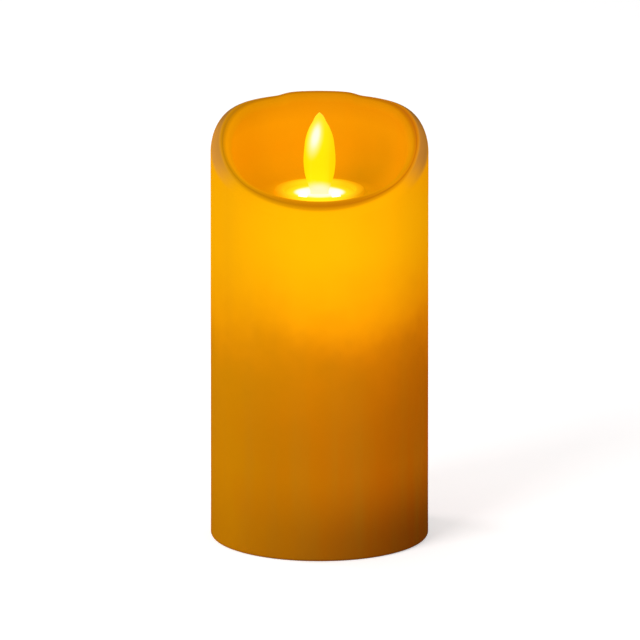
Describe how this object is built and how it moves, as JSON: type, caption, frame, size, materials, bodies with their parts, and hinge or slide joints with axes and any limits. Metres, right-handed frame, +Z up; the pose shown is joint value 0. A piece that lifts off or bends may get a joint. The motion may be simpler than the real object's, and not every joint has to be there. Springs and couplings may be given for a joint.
{
  "type": "flameless led candle",
  "caption": "Battery pillar candle: hollow wax shell with a slanted melted-look bowl, a swaying flame-shaped paddle lit from below, and a base with a battery door and slide switch.",
  "frame": {"origin": "centre of the resting face, on the table plane", "axes": "+Z up, the low side of the rim faces -Y (front), +X to the right seen from the front"},
  "size_m": [0.075, 0.075, 0.15],
  "materials": {
    "amber_wax": "satin wax, glowing from inside",
    "collar_ivory": "satin",
    "flame_film": "translucent satin",
    "magnet_nickel": "plated",
    "wire_steel": "drawn",
    "housing_milky": "translucent satin",
    "screw_steel": "zinc plated",
    "led_lens": "clear",
    "lead_tin": "tinned",
    "board_green": "solder mask",
    "bobbin_black": "moulded",
    "winding_copper": "enamelled",
    "frame_white": "moulded",
    "part_black": "moulded",
    "can_metal": "drawn",
    "capacitor_sleeve": "shrink sleeve",
    "socket_cream": "moulded",
    "base_ivory": "fine texture",
    "door_ivory": "fine texture",
    "cell_jacket": "printed sleeve",
    "contact_nickel": "nickel plated",
    "switch_steel": "pressed",
    "knob_black": "moulded",
    "insulation_red": "satin",
    "insulation_black": "satin",
    "insulation_blue": "satin",
    "insulation_white": "satin"
  },
  "bodies": {
    "candle": {"wax_shell": "amber_wax", "flame_collar": "collar_ivory", "pivot_wire": "wire_steel", "module_shell_front": "housing_milky", "module_shell_rear": "housing_milky", "module_screws": "screw_steel", "led_left": "led_lens", "led_right": "led_lens", "led_leads": "lead_tin", "led_board": "board_green", "coil_bobbin": "bobbin_black", "coil_winding": "winding_copper", "spacer_frame": "frame_white", "frame_screws": "screw_steel", "mount_screws": "screw_steel", "control_board": "board_green", "board_screws": "screw_steel", "control_chip": "part_black", "timer_crystal": "can_metal", "board_capacitors": "capacitor_sleeve", "board_resistors": "part_black", "drive_transistor": "part_black", "wire_sockets": "socket_cream", "base": "base_ivory", "battery_cell_1": "cell_jacket", "battery_cell_2": "cell_jacket", "battery_cell_3": "cell_jacket", "contact_spring_1": "contact_nickel", "contact_spring_2": "contact_nickel", "contact_spring_3": "contact_nickel", "contact_positive": "contact_nickel", "contact_negative": "contact_nickel", "contact_bridge_front": "contact_nickel", "contact_bridge_rear": "contact_nickel", "switch_case": "switch_steel", "switch_carrier": "part_black", "switch_screws": "screw_steel", "wire_positive": "insulation_red", "wire_negative": "insulation_black", "wire_switched": "insulation_blue", "coil_wires": "insulation_white", "led_wires": "insulation_white"},
    "flame_paddle": {"flame": "flame_film", "flame_magnet": "magnet_nickel"},
    "slide_knob": {"switch_knob": "knob_black"},
    "door": {"battery_door": "door_ivory"}
  },
  "joints": [
    {"name": "flame_swing", "type": "hinge", "parent": "candle", "child": "flame_paddle", "pos_m": [0, 0, 0.1105], "axis": [0, 1, 0], "range_deg": [-7, 7]},
    {"name": "switch_slide", "type": "slide", "parent": "candle", "child": "slide_knob", "axis": [0, 1, 0], "range_m": [-0.002, 0.002]},
    {"name": "door_hinge", "type": "hinge", "parent": "candle", "child": "door", "pos_m": [0, -0.026, 0.00435], "axis": [1, 0, 0], "range_deg": [-35, 0]}
  ]
}
